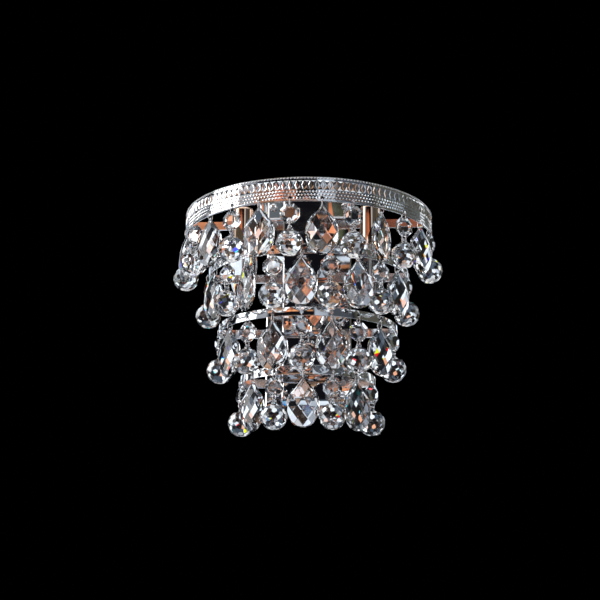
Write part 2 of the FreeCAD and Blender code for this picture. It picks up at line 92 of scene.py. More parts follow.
# ---- Shader maths ----
class Signal:
    """Number socket of a node tree whose arithmetic adds Math nodes."""

    def __init__(self, tree: Tree, socket: Socket) -> None:
        """Wrap an output socket."""
        self.tree = tree
        self.socket = socket

    def math(self, operation: str, *others: "Signal | Number", clamp: bool = False) -> "Signal":
        """Add a Math node that takes this signal first.

        Args:
            operation: The node's operation.
            others: What goes into its further sockets.
            clamp: Whether the result is kept between 0 and 1.

        Returns:
            The node's result.
        """
        node = self.tree.nodes.new("ShaderNodeMath")
        node.operation = operation
        node.use_clamp = clamp
        for socket, value in zip(node.inputs, (self, *others)):
            feed(self.tree, socket, value)
        return Signal(self.tree, node.outputs[0])

    def __add__(self, other: "Signal | Number") -> "Signal":
        """Sum."""
        return self.math("ADD", other)

    __radd__ = __add__

    def __mul__(self, other: "Signal | Number") -> "Signal":
        """Product."""
        return self.math("MULTIPLY", other)

    __rmul__ = __mul__

    def __sub__(self, other: "Signal | Number") -> "Signal":
        """Difference."""
        return self.math("SUBTRACT", other)

    def __rsub__(self, other: Number) -> "Signal":
        """Difference from a number."""
        return (self * -1.0) + other

    def near(self, centre: float, half: float, soft: float) -> "Signal":
        """1 within half of a centre, falling to 0 over soft."""
        return 1.0 - ((self - centre).math("ABSOLUTE") - half).math("DIVIDE", soft, clamp=True)


def feed(tree: Tree, socket: Socket, value: object) -> None:
    """Link a signal or socket to a socket, or set the socket's own value.

    Args:
        tree: The node tree.
        socket: The socket that is fed.
        value: A signal, a socket or a plain value.
    """
    if isinstance(value, Signal):
        tree.links.new(value.socket, socket)
    elif isinstance(value, Socket):
        tree.links.new(value, socket)
    else:
        socket.default_value = value


class Bench:
    """Node bench of one material or world."""

    def __init__(self, tree: Tree) -> None:
        """Take over a node tree and empty it."""
        self.tree = tree
        tree.nodes.clear()

    def node(self, kind: str, settings: dict[str, object] | None = None, **inputs: object) -> Node:
        """Add a node.

        Args:
            kind: Type of the node, without the words ShaderNode.
            settings: Properties that are set before its sockets.
            inputs: Values or links of its sockets, with underscores for spaces.

        Returns:
            The node.
        """
        node = self.tree.nodes.new(f"ShaderNode{kind}")
        for key, value in (settings or {}).items():
            setattr(node, key, value)
        for key, value in inputs.items():
            feed(self.tree, node.inputs[key.replace("_", " ")], value)
        return node

    def signal(self, node: Node, output: str = "Fac") -> Signal:
        """One number output of a node."""
        return Signal(self.tree, node.outputs[output])

    def place(self, stretch: Triple = (1, 1, 1)) -> Socket:
        """Object coordinates, stretched."""
        spot = self.node("TexCoord").outputs["Object"]
        return self.node("Mapping", Vector=spot, Scale=stretch).outputs["Vector"]

    def noise(self, scale: float, detail: float = 3.0, stretch: Triple = (1, 1, 1)) -> Signal:
        """Soft noise over the piece, 0 to 1."""
        return self.signal(self.node("TexNoise", Vector=self.place(stretch), Scale=scale, Detail=detail))

    def mix(self, share: Signal, first: Colour, second: Colour) -> Socket:
        """Colour between two colours.

        Args:
            share: Share of the second colour.
            first: Colour at 0.
            second: Colour at 1.

        Returns:
            The colour.
        """
        node = self.tree.nodes.new("ShaderNodeMix")
        node.data_type = "RGBA"
        feed(self.tree, node.inputs["Factor"], share)
        node.inputs[6].default_value = (*first, 1)
        node.inputs[7].default_value = (*second, 1)
        return node.outputs[2]

    def bump(self, height: Signal, depth: float, strength: float) -> Socket:
        """Normal from a height signal."""
        return self.node("Bump", Height=height, Distance=depth, Strength=strength).outputs["Normal"]


# ---- Finishes ----
@dataclass(frozen=True)
class Finish:
    """Finish of a piece, built once and then shared."""

    name: str

    def material(self) -> bpy.types.Material:
        """Build the finish, or give the one already built.

        Returns:
            The material.
        """
        if self.name in bpy.data.materials:
            return bpy.data.materials[self.name]
        made = bpy.data.materials.new(self.name)
        made.use_nodes = True
        bench = Bench(made.node_tree)
        bench.node("OutputMaterial", Surface=self.shader(bench).outputs[0])
        return made

    def shader(self, bench: Bench) -> Node:
        """Add the finish's shader."""
        raise NotImplementedError


@dataclass(frozen=True)
class Metal(Finish):
    """Plated or bare metal: its colour, a duller film in patches, fine grain and how polished it is."""

    bright: Colour
    film: Colour
    polish: float
    dull: float
    patch_scale: float = 60.0
    patch_start: float = 0.42
    patch_contrast: float = 3.5
    grain_scale: float = 1800.0
    grain_depth: float = 0.02 * MM
    grain_strength: float = 0.06
    grain_share: float = 0.3
    stretch: Triple = (1, 1, 1)
    slot: Slot = Slot.CHROME

    def shader(self, bench: Bench) -> Node:
        """Add the metal's shader."""
        cloud = bench.noise(self.patch_scale, 4.0, self.stretch)
        patch = (cloud - self.patch_start).math("MULTIPLY", self.patch_contrast, clamp=True)
        grain = bench.noise(self.grain_scale, 2.0, self.stretch)
        rough = (patch * (self.dull - self.polish) + self.polish
                 + (grain - 0.5) * (self.grain_share * self.polish))
        return bench.node(
            "BsdfPrincipled", Base_Color=bench.mix(patch, self.bright, self.film), Metallic=1.0,
            Roughness=rough, Normal=bench.bump(grain, self.grain_depth, self.grain_strength))


@dataclass(frozen=True)
class Glass(Finish):
    """Clear or tinted glass with faint clouds of handling marks."""

    clear: Colour
    cast: Colour
    index: float
    slot: Slot
    polish: float = 0.0
    marks: float = 0.03
    mark_scale: float = 90.0
    mark_start: float = 0.55
    mark_contrast: float = 4.0

    def shader(self, bench: Bench) -> Node:
        """Add the glass's shader."""
        cloud = bench.noise(self.mark_scale, 4.0)
        mark = (cloud - self.mark_start).math("MULTIPLY", self.mark_contrast, clamp=True)
        return bench.node(
            "BsdfPrincipled", Base_Color=bench.mix(cloud, self.clear, self.cast),
            Roughness=mark * self.marks + self.polish, IOR=self.index, Transmission_Weight=1.0)


CHROME = Metal("polished_chrome", (0.86, 0.87, 0.89), (0.74, 0.75, 0.77), 0.03, 0.12)
STAMPED = Metal("stamped_chrome", (0.88, 0.89, 0.91), (0.62, 0.63, 0.66), 0.05, 0.2, patch_scale=220.0)
MIRROR = Metal("mirror_box_chrome", (0.80, 0.80, 0.82), (0.70, 0.70, 0.72), 0.02, 0.09, patch_scale=35.0)
# Lampholder sleeve chrome: its warm orange base colour is a painted reflection of orange surroundings, not
# the chrome's own colour; the duller patches are film.
PAINTED_REFLECTION_SLEEVE = Metal("sleeve_chrome_painted_orange_reflection", (0.97, 0.72, 0.54), (0.86, 0.6, 0.44), 0.04, 0.14)
BRUSHED = Metal("brushed_bar_chrome", (0.78, 0.78, 0.80), (0.66, 0.66, 0.68), 0.1, 0.22, stretch=(0.05, 1, 1),
                grain_scale=900.0, grain_strength=0.15)
WIRE = Metal("link_wire_chrome", (0.88, 0.88, 0.90), (0.7, 0.7, 0.72), 0.08, 0.2, patch_scale=300.0)
ZINC = Metal("zinc_plated_steel", (0.60, 0.61, 0.64), (0.48, 0.47, 0.44), 0.3, 0.5, patch_scale=120.0,
             grain_strength=0.2, slot=Slot.STEEL)
NICKEL = Metal("lamp_cap_nickel", (0.72, 0.69, 0.62), (0.55, 0.5, 0.42), 0.2, 0.4, patch_scale=150.0)
CRYSTAL = Glass("cut_crystal", (1.0, 1.0, 1.0), (0.965, 0.98, 1.0), 1.56, Slot.CRYSTAL)
ENVELOPE = Glass("bulb_envelope_glass", (1.0, 1.0, 1.0), (0.98, 0.985, 0.99), 1.46, Slot.BULB_GLASS,
                 marks=0.08)


def dress(piece: Piece, finish: Finish) -> Piece:
    """Give a piece one finish all over.

    Args:
        piece: The piece.
        finish: Its finish.

    Returns:
        The piece.
    """
    piece.data.materials.clear()
    piece.data.materials.append(finish.material())
    return piece


# ---- Modelling by operators ----
class Shop:
    """Operators on one piece at a time, as at a modeller's desk."""

    drill_sides = 14

    @staticmethod
    def clear() -> None:
        """Leave edit mode and deselect everything."""
        if bpy.context.object and bpy.context.object.mode != "OBJECT":
            bpy.ops.object.mode_set(mode="OBJECT")
        bpy.ops.object.select_all(action="DESELECT")

    @classmethod
    def pick(cls, *pieces: Piece) -> None:
        """Select pieces, the first of them active.

        Args:
            pieces: The pieces.
        """
        cls.clear()
        for piece in pieces:
            piece.select_set(True)
        bpy.context.view_layer.objects.active = pieces[0]

    @classmethod
    def named(cls, name: str) -> Piece:
        """Name the primitive that was just added and put its place into its mesh.

        Args:
            name: Its name.

        Returns:
            The piece.
        """
        piece = bpy.context.object
        piece.name = name
        piece.data.name = name
        bpy.ops.object.transform_apply(location=True, rotation=True, scale=True)
        return piece

    @classmethod
    @contextmanager
    def shaping(cls, piece: Piece, edges: bool = False) -> Iterator[None]:
        """Edit mode on one piece, with all of it selected.

        Args:
            piece: The piece.
            edges: Whether its edges are selected, for a bare outline, or else its faces.
        """
        cls.pick(piece)
        bpy.context.tool_settings.mesh_select_mode = (False, edges, not edges)
        bpy.ops.object.mode_set(mode="EDIT")
        bpy.ops.mesh.select_all(action="SELECT")
        yield
        bpy.ops.object.mode_set(mode="OBJECT")

    @staticmethod
    def extrude(across: float, deep: float, up: float) -> None:
        """Extrude what is selected by a step along X, Y and Z."""
        bpy.ops.mesh.extrude_region_move(TRANSFORM_OT_translate={"value": (across, deep, up)})

    @classmethod
    def modify(cls, piece: Piece, kind: str, **settings: object) -> Piece:
        """Add a modifier and apply it.

        Args:
            piece: The piece.
            kind: Type of the modifier.
            settings: Its properties.

        Returns:
            The piece.
        """
        cls.pick(piece)
        modifier = piece.modifiers.new(kind.lower(), kind)
        for key, value in settings.items():
            setattr(modifier, key, value)
        bpy.ops.object.modifier_apply(modifier=modifier.name)
        return piece

    @classmethod
    def outward(cls, piece: Piece) -> Piece:
        """Merge doubles and turn the faces outwards.

        Args:
            piece: The piece.

        Returns:
            The piece.
        """
        with cls.shaping(piece):
            bpy.ops.mesh.remove_doubles(threshold=MERGE)
            bpy.ops.mesh.normals_make_consistent(inside=False)
        return piece

    @classmethod
    def smooth(cls, piece: Piece, degrees: float = 35.0) -> Piece:
        """Shade smooth where neighbouring faces meet at less than an angle.

        Args:
            piece: The piece.
            degrees: The angle.

        Returns:
            The piece.
        """
        cls.pick(piece)
        bpy.ops.object.shade_smooth_by_angle(angle=math.radians(degrees))
        return piece

    @classmethod
    def grind(cls, piece: Piece, planes: Sequence[Plane]) -> Piece:
        """Grind flats: cut off all that lies before each plane and close the cut.

        Args:
            piece: The piece.
            planes: A point and an outward direction for each.

        Returns:
            The piece.
        """
        with cls.shaping(piece):
            for point, outward in planes:
                bpy.ops.mesh.select_all(action="SELECT")
                bpy.ops.mesh.bisect(plane_co=point, plane_no=outward, use_fill=True, clear_outer=True,
                                    threshold=MERGE)
        return cls.outward(piece)

    @classmethod
    def cut(cls, piece: Piece, tool: Piece, operation: str = "DIFFERENCE") -> Piece:
        """Boolean of a piece with a tool that is then thrown away.

        Args:
            piece: The piece.
            tool: The tool.
            operation: DIFFERENCE or UNION.

        Returns:
            The piece.
        """
        cls.modify(piece, "BOOLEAN", operation=operation, object=tool, solver="EXACT")
        bpy.data.objects.remove(tool)
        return piece

    @classmethod
    def drill(cls, piece: Piece, across: float, long: float, spot: Vector,
              turn: Triple) -> Piece:
        """Drill a round hole, its axis Z before the turn.

        Args:
            piece: The piece.
            across: Width of the hole.
            long: Length of the drill.
            spot: Its middle.
            turn: How it is turned.

        Returns:
            The piece.
        """
        cls.clear()
        bpy.ops.mesh.primitive_cylinder_add(
            vertices=cls.drill_sides, radius=across / 2, depth=long, location=spot, rotation=turn)
        return cls.cut(piece, cls.named("drill"))

    @classmethod
    def join(cls, name: str, pieces: Sequence[Piece]) -> Piece:
        """Join pieces into one.

        Args:
            name: Its name.
            pieces: The pieces.

        Returns:
            The joined piece.
        """
        cls.pick(*pieces)
        if len(pieces) > 1:
            bpy.ops.object.join()
        pieces[0].name = name
        pieces[0].data.name = name
        return pieces[0]

    @classmethod
    def lathe(cls, name: str, sections: Sequence[tuple[float, float]], sides: int = 40) -> Piece:
        """Turned solid: a disc extruded and scaled from section to section.

        Args:
            name: Name of the piece.
            sections: Pairs of height on Z and radius, from one end to the other.
            sides: Sides of the circle.

        Returns:
            The piece, its axis on Z.
        """
        cls.clear()
        height, radius = sections[0]
        bpy.ops.mesh.primitive_circle_add(
            vertices=sides, radius=radius, fill_type="NGON", location=(0, 0, height))
        piece = cls.named(name)
        with cls.shaping(piece):
            for after, size in sections[1:]:
                Shop.extrude(0, 0, after - height)
                if abs(size - radius) > 1e-9:
                    ratio = size / radius
                    bpy.ops.transform.resize(value=(ratio, ratio, 1), center_override=(0, 0, after))
                height, radius = after, size
        return cls.smooth(cls.outward(piece))

    @staticmethod
    def copied(pattern: Piece, name: str, place: Matrix) -> Piece:
        """Copy of a pattern with its own mesh, its place in the mesh.

        Args:
            pattern: The pattern.
            name: Name of the copy.
            place: Where it goes.

        Returns:
            The copy.
        """
        piece = pattern.copy()
        piece.data = pattern.data.copy()
        piece.name = name
        piece.data.name = name
        piece.data.transform(place)
        bpy.context.scene.collection.objects.link(piece)
        return piece


def fit(piece: Piece, finish: Finish, body: str, *nodes: str) -> Piece:
    """Dress a finished piece, hang it on a body and let it stand for CAD nodes.

    Args:
        piece: The piece.
        finish: Its finish.
        body: The body it rides on.
        nodes: The nodes it stands for.

    Returns:
        The piece.
    """
    dress(piece, finish)
    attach(piece, body)
    if nodes:
        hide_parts(*nodes)
    log.info("%s: %d faces, on %s", piece.name, len(piece.data.polygons), body)
    return piece


# ---- Crystals ----
@dataclass
class CrystalStrings:
    """The forty strings: wire links, octagons and balls, or links and almonds, in a frame at the hinge."""

    link_reach: float = 4.6 * MM
    link_wide: float = 8.0 * MM
    wire: float = 1.1 * MM
    link_rest: float = 0.4 * MM
    bend_steps: int = 10
    hole: float = 3.0 * MM
    octagon: float = 22.0 * MM
    octagon_table: float = 12.5 * MM
    octagon_thick: float = 8.0 * MM
    octagon_girdle: float = 0.7 * MM
    octagon_inset: float = 2.8 * MM
    octagon_sides: int = 8
    corner_lean: float = 0.8
    corner_reach: float = 1.015
    ball: float = 30.0 * MM
    ball_sides: int = 14
    ball_belts: int = 4
    ball_step: float = 19.5
    belt_reach: float = 0.975
    foot_reach: float = 0.97
    neck: float = 8.2 * MM
    neck_top: float = 4.4 * MM
    neck_sides: int = 8
    neck_flare: float = 1.15
    neck_foot: float = 0.8
    neck_bevel: float = 0.5 * MM
    cap: float = 4.8 * MM
    ball_inset: float = 3.0 * MM
    almond_tall: float = 58.2 * MM
    almond_wide: float = 36.6 * MM
    almond_crown: float = 5.0 * MM
    almond_edge: float = 0.9 * MM
    almond_girdle: float = 0.3 * MM
    almond_inset: float = 3.2 * MM
    almond_belly: float = 0.6
    almond_shoulder: float = 0.53
    almond_point: float = 38.3
    almond_flank: float = 62.0
    almond_blank: Triple = (1.2, 4.0, 1.05)
    outline_flats: int = 12
    lozenge: float = 0.29
    lozenge_rows: int = 3
    lozenge_limit: float = 1.05
    lozenge_lift: float = 0.04
    bevel_lean: float = 45.0
    front_share: float = 0.27
    turned_away: float = 20.0
    away: tuple[str, ...] = ("top_almond_5", "second_almond_2")

    @property
    def hook(self) -> float:
        """Height of the first hole under the hinge."""
        return self.link_rest - 2 * self.link_reach

    @property
    def octagon_middle(self) -> float:
        """Height of the octagon's middle."""
        return self.hook - self.octagon / 2 + self.octagon_inset

    @property
    def octagon_foot(self) -> float:
        """Height of the octagon's lower hole."""
        return self.hook - self.octagon + 2 * self.octagon_inset

    @property
    def ball_middle(self) -> float:
        """Height of the ball's middle."""
        return self.octagon_foot + 2 * self.link_rest - 2 * self.link_reach - self.ball_rise

    @property
    def ball_rise(self) -> float:
        """Height of the ball's hole above its middle."""
        return self.ball / 2 + self.cap - self.ball_inset

    def link(self, name: str, middle: float) -> Piece:
        """Wire link bent to a long loop across the band, round its middle height.

        Args:
            name: Its name.
            middle: Height of its middle.

        Returns:
            The link.
        """
        Shop.clear()
        bend = (self.link_wide - self.wire) / 2
        leg = 2 * (self.link_reach - bend)
        bpy.ops.mesh.primitive_circle_add(
            vertices=8, radius=self.wire / 2, fill_type="NOTHING", location=(0, bend, middle - leg / 2))
        piece = Shop.named(name)
        with Shop.shaping(piece, edges=True):
            for way in (1, -1):
                Shop.extrude(0, 0, way * leg)
                bpy.ops.mesh.spin(steps=self.bend_steps, angle=-math.pi, axis=(1, 0, 0),
                                  center=(0, 0, middle + way * leg / 2))
        return Shop.smooth(Shop.outward(piece), 60)

    def octagon_planes(self) -> list[Plane]:
        """Planes of the octagon's sides, main bevels and the narrow facets over its corners.

        Returns:
            The planes.
        """
        half, table, reach = self.octagon_thick / 2, self.octagon_table / 2, self.octagon / 2
        planes = []
        fall = math.atan2(half - self.octagon_girdle, reach - table)
        for number in range(2 * self.octagon_sides):
            turn = number * math.pi / self.octagon_sides
            ray = Vector((math.cos(turn), 0, math.sin(turn)))
            main = number % 2 == 0
            if main:
                planes.append((ray * reach, ray))
            for side in (-1, 1):
                lean = fall if main else fall * self.corner_lean
                start = ray * (table if main else table * self.corner_reach) + Vector((0, side * half, 0))
                planes.append((start, ray * math.sin(lean) + Vector((0, side * math.cos(lean), 0))))
        return planes

    def cut_octagon(self) -> Piece:
        """Octagon crystal with a hole at each end.

        Returns:
            The stone.
        """
        Shop.clear()
        wide = 2 * self.octagon
        bpy.ops.mesh.primitive_cube_add(size=1, scale=(wide, self.octagon_thick, wide))
        piece = Shop.grind(Shop.named("octagon_pattern"), self.octagon_planes())
        piece.data.transform(Matrix.Translation((0, 0, self.octagon_middle)))
        for height in (self.hook, self.octagon_foot):
            Shop.drill(piece, self.hole, self.octagon, Vector((0, 0, height)), (QUARTER, 0, 0))
        return piece

    def ball_planes(self) -> list[Plane]:
        """Planes that touch the ball in staggered belts.

        Returns:
            The planes.
        """
        planes = [(Vector((0, 0, -self.foot_reach * self.ball / 2)), Vector((0, 0, -1)))]
        for belt in range(-self.ball_belts, self.ball_belts + 1):
            rise = math.radians(belt * self.ball_step)
            sides = self.ball_sides if abs(belt) < self.ball_belts - 1 else self.ball_sides // 2
            for side in range(sides):
                turn = 2 * math.pi * (side + 0.5 * (belt % 2)) / sides
                flat = math.cos(rise)
                out = Vector((flat * math.cos(turn), flat * math.sin(turn), math.sin(rise)))
                planes.append((out * self.belt_reach * self.ball / 2, out))
        return planes

    def cut_ball(self) -> Piece:
        """Faceted ball with its drawn-out neck and hole.

        Returns:
            The stone.
        """
        Shop.clear()
        bpy.ops.mesh.primitive_cube_add(size=self.ball)
        piece = Shop.grind(Shop.named("ball_pattern"), self.ball_planes())
        Shop.clear()
        foot, top = self.neck_foot * self.ball / 2, self.ball / 2 + self.cap
        bpy.ops.mesh.primitive_cone_add(
            vertices=self.neck_sides, radius1=self.neck / 2 * self.neck_flare, radius2=self.neck_top / 2,
            depth=top - foot, location=(0, 0, (foot + top) / 2), rotation=(0, 0, math.pi / self.neck_sides))
        neck = Shop.modify(Shop.named("neck"), "BEVEL", width=self.neck_bevel, segments=1)
        Shop.cut(piece, neck, "UNION")
        Shop.drill(piece, self.hole, self.ball, Vector((0, 0, self.ball_rise)), (QUARTER, 0, 0))
        piece.data.transform(Matrix.Translation((0, 0, self.ball_middle)))
        return piece

    def almond_edges(self) -> list[Plane]:
        """Planes of one side of the almond's outline: the flank at its point, then round its belly.

        Returns:
            The planes.
        """
        half, middle = self.almond_wide / 2, (0.5 - self.almond_belly) * self.almond_tall
        lean = math.radians(self.almond_point)
        edges = [(Vector((0, 0, self.almond_tall / 2)), Vector((math.cos(lean), 0, math.sin(lean))))]
        start = math.radians(self.almond_flank)
        for number in range(self.outline_flats):
            turn = start + (math.pi - start) * (number + 0.5) / self.outline_flats
            tall = self.almond_tall * (self.almond_shoulder if turn < QUARTER else 1 - self.almond_belly)
            ray = Vector((math.sin(turn) / half, 0, math.cos(turn) / tall)).normalized()
            edges.append((Vector((half * math.sin(turn), 0, middle + tall * math.cos(turn))), ray))
        return edges

    def almond_planes(self) -> list[Plane]:
        """Planes of the almond's rim and bevels, and of the lozenges ground on both faces.

        Returns:
            The planes.
        """
        planes = []
        lean = math.radians(self.bevel_lean)
        for spot, out in self.almond_edges():
            for side in (-1, 1):
                ray, point = Vector((side * out.x, 0, out.z)), Vector((side * spot.x, 0, spot.z))
                planes.append((point, ray))
                for face in (-1, 1):
                    edge = point + Vector((0, face * self.almond_girdle, 0))
                    planes.append((edge, ray * math.cos(lean) + Vector((0, face * math.sin(lean), 0))))
        reach = self.lozenge_rows + 1
        half = self.almond_wide / 2
        belly = self.almond_belly - self.lozenge_lift
        for column in range(-reach, reach + 1):
            for line in range(-reach, reach + 1):
                across, up = column * self.lozenge, line * self.lozenge
                if (column + line) % 2 or math.hypot(across, up) > self.lozenge_limit:
                    continue
                tall = self.almond_tall * (belly if line > 0 else 1 - belly)
                depth = self.almond_crown * (1 - across**2 - up**2) + self.almond_edge
                spot = Vector((across * half, 0, (0.5 - belly) * self.almond_tall + up * tall))
                for face in (-1, 1):
                    slope = Vector((2 * self.almond_crown * across / half, face,
                                    2 * self.almond_crown * up / tall))
                    planes.append((spot + Vector((0, face * depth, 0)), slope.normalized()))
        return planes

    def cut_almond(self) -> Piece:
        """Almond crystal ground in lozenges, with a hole under its point.

        Returns:
            The stone.
        """
        Shop.clear()
        wide, thick, tall = self.almond_blank
        bpy.ops.mesh.primitive_cube_add(
            size=1, scale=(wide * self.almond_wide, thick * self.almond_crown, tall * self.almond_tall))
        piece = Shop.grind(Shop.named("almond_pattern"), self.almond_planes())
        piece.data.transform(Matrix.Translation((0, 0, self.hook - self.almond_tall / 2 + self.almond_inset)))
        return Shop.drill(piece, self.hole, self.octagon, Vector((0, 0, self.hook)), (QUARTER, 0, 0))

    def facing(self, name: str, axis: Vector) -> float:
        """Turn of a string: square to its band, less the share by which it hangs towards the front.

        Args:
            name: Name of the string.
            axis: Axis of its hinge.

        Returns:
            The turn about Z.
        """
        square = math.atan2(-axis.y, -axis.x)
        if name in self.away:
            return square + math.copysign(math.radians(self.turned_away), square)
        return square * (1 - self.front_share)

    def build(self) -> None:
        """Hang a string at every hinge of the frame."""
        upper = self.link("upper_link_pattern", -self.link_reach)
        lower = self.link("lower_link_pattern", self.octagon_foot + self.link_rest - self.link_reach)
        ball_stones = Shop.join("ball_stones_pattern", [self.cut_octagon(), self.cut_ball()])
        almond = self.cut_almond()
        patterns = {Kind.BALL: (ball_stones, [upper, lower]), Kind.ALMOND: (almond, [upper])}
        for joint in frame["joints"]:
            name = joint["child"]
            kind = Kind.BALL if Kind.BALL.value in name else Kind.ALMOND
            place = Matrix.Translation(joint["pos_m"]) @ Matrix.Rotation(
                self.facing(name, Vector(joint["axis"])), 4, "Z")
            stones, links = patterns[kind]
            fit(Shop.copied(stones, f"{name}_crystal", place), CRYSTAL, name, name)
            wires = [Shop.copied(link, f"{name}_wire", place) for link in links]
            fit(Shop.join(f"{name}_wire", wires), WIRE, name)
        for pattern in (upper, lower, ball_stones, almond):
            bpy.data.objects.remove(pattern)


# ---- Bands ----
@dataclass
class Bands:
    """The four half-round bands, and the stamped relief on the tall top one."""

    stand_off: float = 20.0 * MM
    thick: float = 1.2 * MM
    leg: float = 3.0 * MM
    plain_high: float = 10.0 * MM
    crown_high: float = 28.0 * MM
    hole: float = 4.4 * MM
    hole_rise: float = 0.9 * MM
    soft_edge: float = 0.3 * MM
    bend_steps: int = 96
    rim_high: float = 2.0 * MM
    rim_reach: float = 0.8 * MM
    rim_round: float = 0.9
    hole_sides: int = 12
    hole_long: float = 8.0
    columns: int = 62
    relief_rise: float = 0.75 * MM
    relief_sunk: float = 0.1 * MM
    foot_share: float = 0.15
    triangle: tuple[float, float] = (0.866, 0.75)
    lozenge_wide: float = 4.4 * MM
    lozenge_high: float = 11.0 * MM
    lozenge_level: float = 18.7 * MM
    lozenge_top: float = 0.55
    heart_wide: float = 6.2 * MM
    heart_high: float = 5.8 * MM
    heart_gap: float = 3.4 * MM
    heart_top: float = 0.12
    arrow_share: float = 0.9
    bead_across: float = 3.5 * MM
    bead_top: float = 0.1
    bead_levels: tuple[float, ...] = (4.0 * MM, 7.6 * MM, 11.2 * MM)
    edge_wide: float = 3.3 * MM
    edge_high: float = 2.2 * MM
    edge_top: float = 0.5
    edge_drop: float = 0.6

    def rolled(self, name: str, radius: float, foot: float, wide: float, high: float,
               soft: float) -> Piece:
        """Strip of round-edged section, bent to a half circle with a straight leg at each end.

        Args:
            name: Name of the piece.
            radius: Outer radius.
            foot: Height of its lower edge.
            wide: Thickness of the section.
            high: Height of the section.
            soft: How far its corners are rounded.

        Returns:
            The piece.
        """
        Shop.clear()
        bpy.ops.mesh.primitive_plane_add(
            size=1, location=(wide / 2 - radius, self.leg - self.stand_off, foot + high / 2),
            rotation=(QUARTER, 0, 0))
        bpy.context.object.scale = (wide, high, 1)
        piece = Shop.named(name)
        with Shop.shaping(piece):
            bpy.ops.mesh.bevel(affect="VERTICES", offset=soft, segments=3)
            bpy.ops.mesh.select_all(action="SELECT")
            Shop.extrude(0, -self.leg, 0)
            bpy.ops.mesh.spin(steps=self.bend_steps, angle=-math.pi, center=(0, -self.stand_off, 0),
                              axis=(0, 0, 1))
            Shop.extrude(0, self.leg, 0)
        return Shop.smooth(Shop.outward(piece), 30)

    def drill_row(self, band: Piece, tier: str) -> None:
        """Drill the holes that the links of a tier hang in.

        Args:
            band: The band.
            tier: Name of the tier.
        """
        drills = []
        for joint in frame["joints"]:
            if joint["child"].startswith(f"{tier}_"):
                spot = Vector(joint["pos_m"]) + Vector((0, 0, self.hole_rise))
                axis = Vector(joint["axis"])
                Shop.clear()
                bpy.ops.mesh.primitive_cylinder_add(
                    vertices=self.hole_sides, radius=self.hole / 2, depth=self.hole_long * self.thick,
                    location=spot, rotation=(QUARTER, 0, math.atan2(-axis.y, -axis.x)))
                drills.append(Shop.named(f"{tier}_drill"))
        Shop.cut(band, Shop.join("row_drill", drills))

    def row(self, name: str, pattern: Piece, radius: float, level: float, count: int,
            shift: float) -> Piece:
        """Copies of a stud, its face towards -Y, evenly round the half circle as one piece.

        Args:
            name: Name of the row.
            pattern: The stud.
            radius: Radius of the band.
            level: Height of the row.
            count: Number of studs.
            shift: How far the row is shifted, in studs.

        Returns:
            The row.
        """
        copies = []
        for number in range(count):
            turn = math.pi * ((number + shift) / count - 0.5)
            spot = Vector((radius * math.sin(turn), -self.stand_off - radius * math.cos(turn), level))
            place = Matrix.Translation(spot) @ Matrix.Rotation(turn, 4, "Z")
            copies.append(Shop.copied(pattern, name, place))
        return Shop.join(name, copies)

    def stud(self, name: str, sides: int, wide: float, high: float, top: float,
             down: bool = False) -> Piece:
        """Stamped stud with sloping sides, standing on its corner, its face towards -Y.

        Args:
            name: Name of the piece.
            sides: Three for a triangle, four for a lozenge, eight for a round bead.
            wide: Its width over all.
            high: Its height over all.
            top: Width of its flat top as a share of its foot.
            down: Whether it points down.

        Returns:
            The piece.
        """
        Shop.clear()
        bpy.ops.mesh.primitive_circle_add(vertices=sides, radius=0.5, fill_type="NGON")
        piece = Shop.named(name)
        with Shop.shaping(piece):
            Shop.extrude(0, 0, self.foot_share)
            bpy.ops.mesh.inset(thickness=0.5 * math.cos(math.pi / sides) * (1 - top),
                               depth=1 - self.foot_share)
        Shop.outward(piece)
        stretch = self.triangle if sides == 3 else (1, 1)
        piece.data.transform(Matrix.Rotation(QUARTER, 4, "X")
                             @ Matrix.Rotation(math.pi if down else 0, 4, "Z")
                             @ Matrix.Diagonal((wide / stretch[0], high / stretch[1], self.relief_rise, 1)))
        return piece

    def relief(self, radius: float, foot: float) -> None:
        """Stamped relief of the top band: lozenges, hearts and arrows between them, studs, a beaded edge.

        Args:
            radius: Outer radius of the band.
            foot: Height of its lower edge.
        """
        lozenge = self.stud("lozenge_pattern", 4, self.lozenge_wide, self.lozenge_high, self.lozenge_top)
        heart = self.stud("heart_pattern", 3, self.heart_wide, self.heart_high, self.heart_top, down=True)
        arrow = self.stud("arrow_pattern", 3, self.heart_wide, self.heart_high * self.arrow_share,
                          self.heart_top)
        bead = self.stud("bead_pattern", 4, self.bead_across, self.bead_across, self.bead_top)
        edge = Shop.smooth(self.stud("edge_pattern", 8, self.edge_wide, self.edge_high, self.edge_top), 60)
        count = self.columns
        rows = [("crown_lozenges", lozenge, self.lozenge_level, count, 0.5),
                ("crown_hearts", heart, self.lozenge_level + self.heart_gap, count, 0.0),
                ("crown_arrows", arrow, self.lozenge_level - self.heart_gap, count, 0.0),
                ("crown_edge_beads", edge, self.crown_high - self.edge_drop * self.edge_high, 2 * count, 0.5)]
        for number, level in enumerate(self.bead_levels):
            rows.append((f"crown_studs_{number + 1}", bead, level, 2 * count, 0.5 * (number % 2)))
        for name, pattern, level, number, shift in rows:
            ring = self.row(name, pattern, radius - self.relief_sunk, foot + level, number, shift)
            if level == self.bead_levels[0]:
                self.drill_row(ring, "top")
            fit(ring, STAMPED, ROOT_BODY)
        for pattern in (lozenge, heart, arrow, bead, edge):
            bpy.data.objects.remove(pattern)

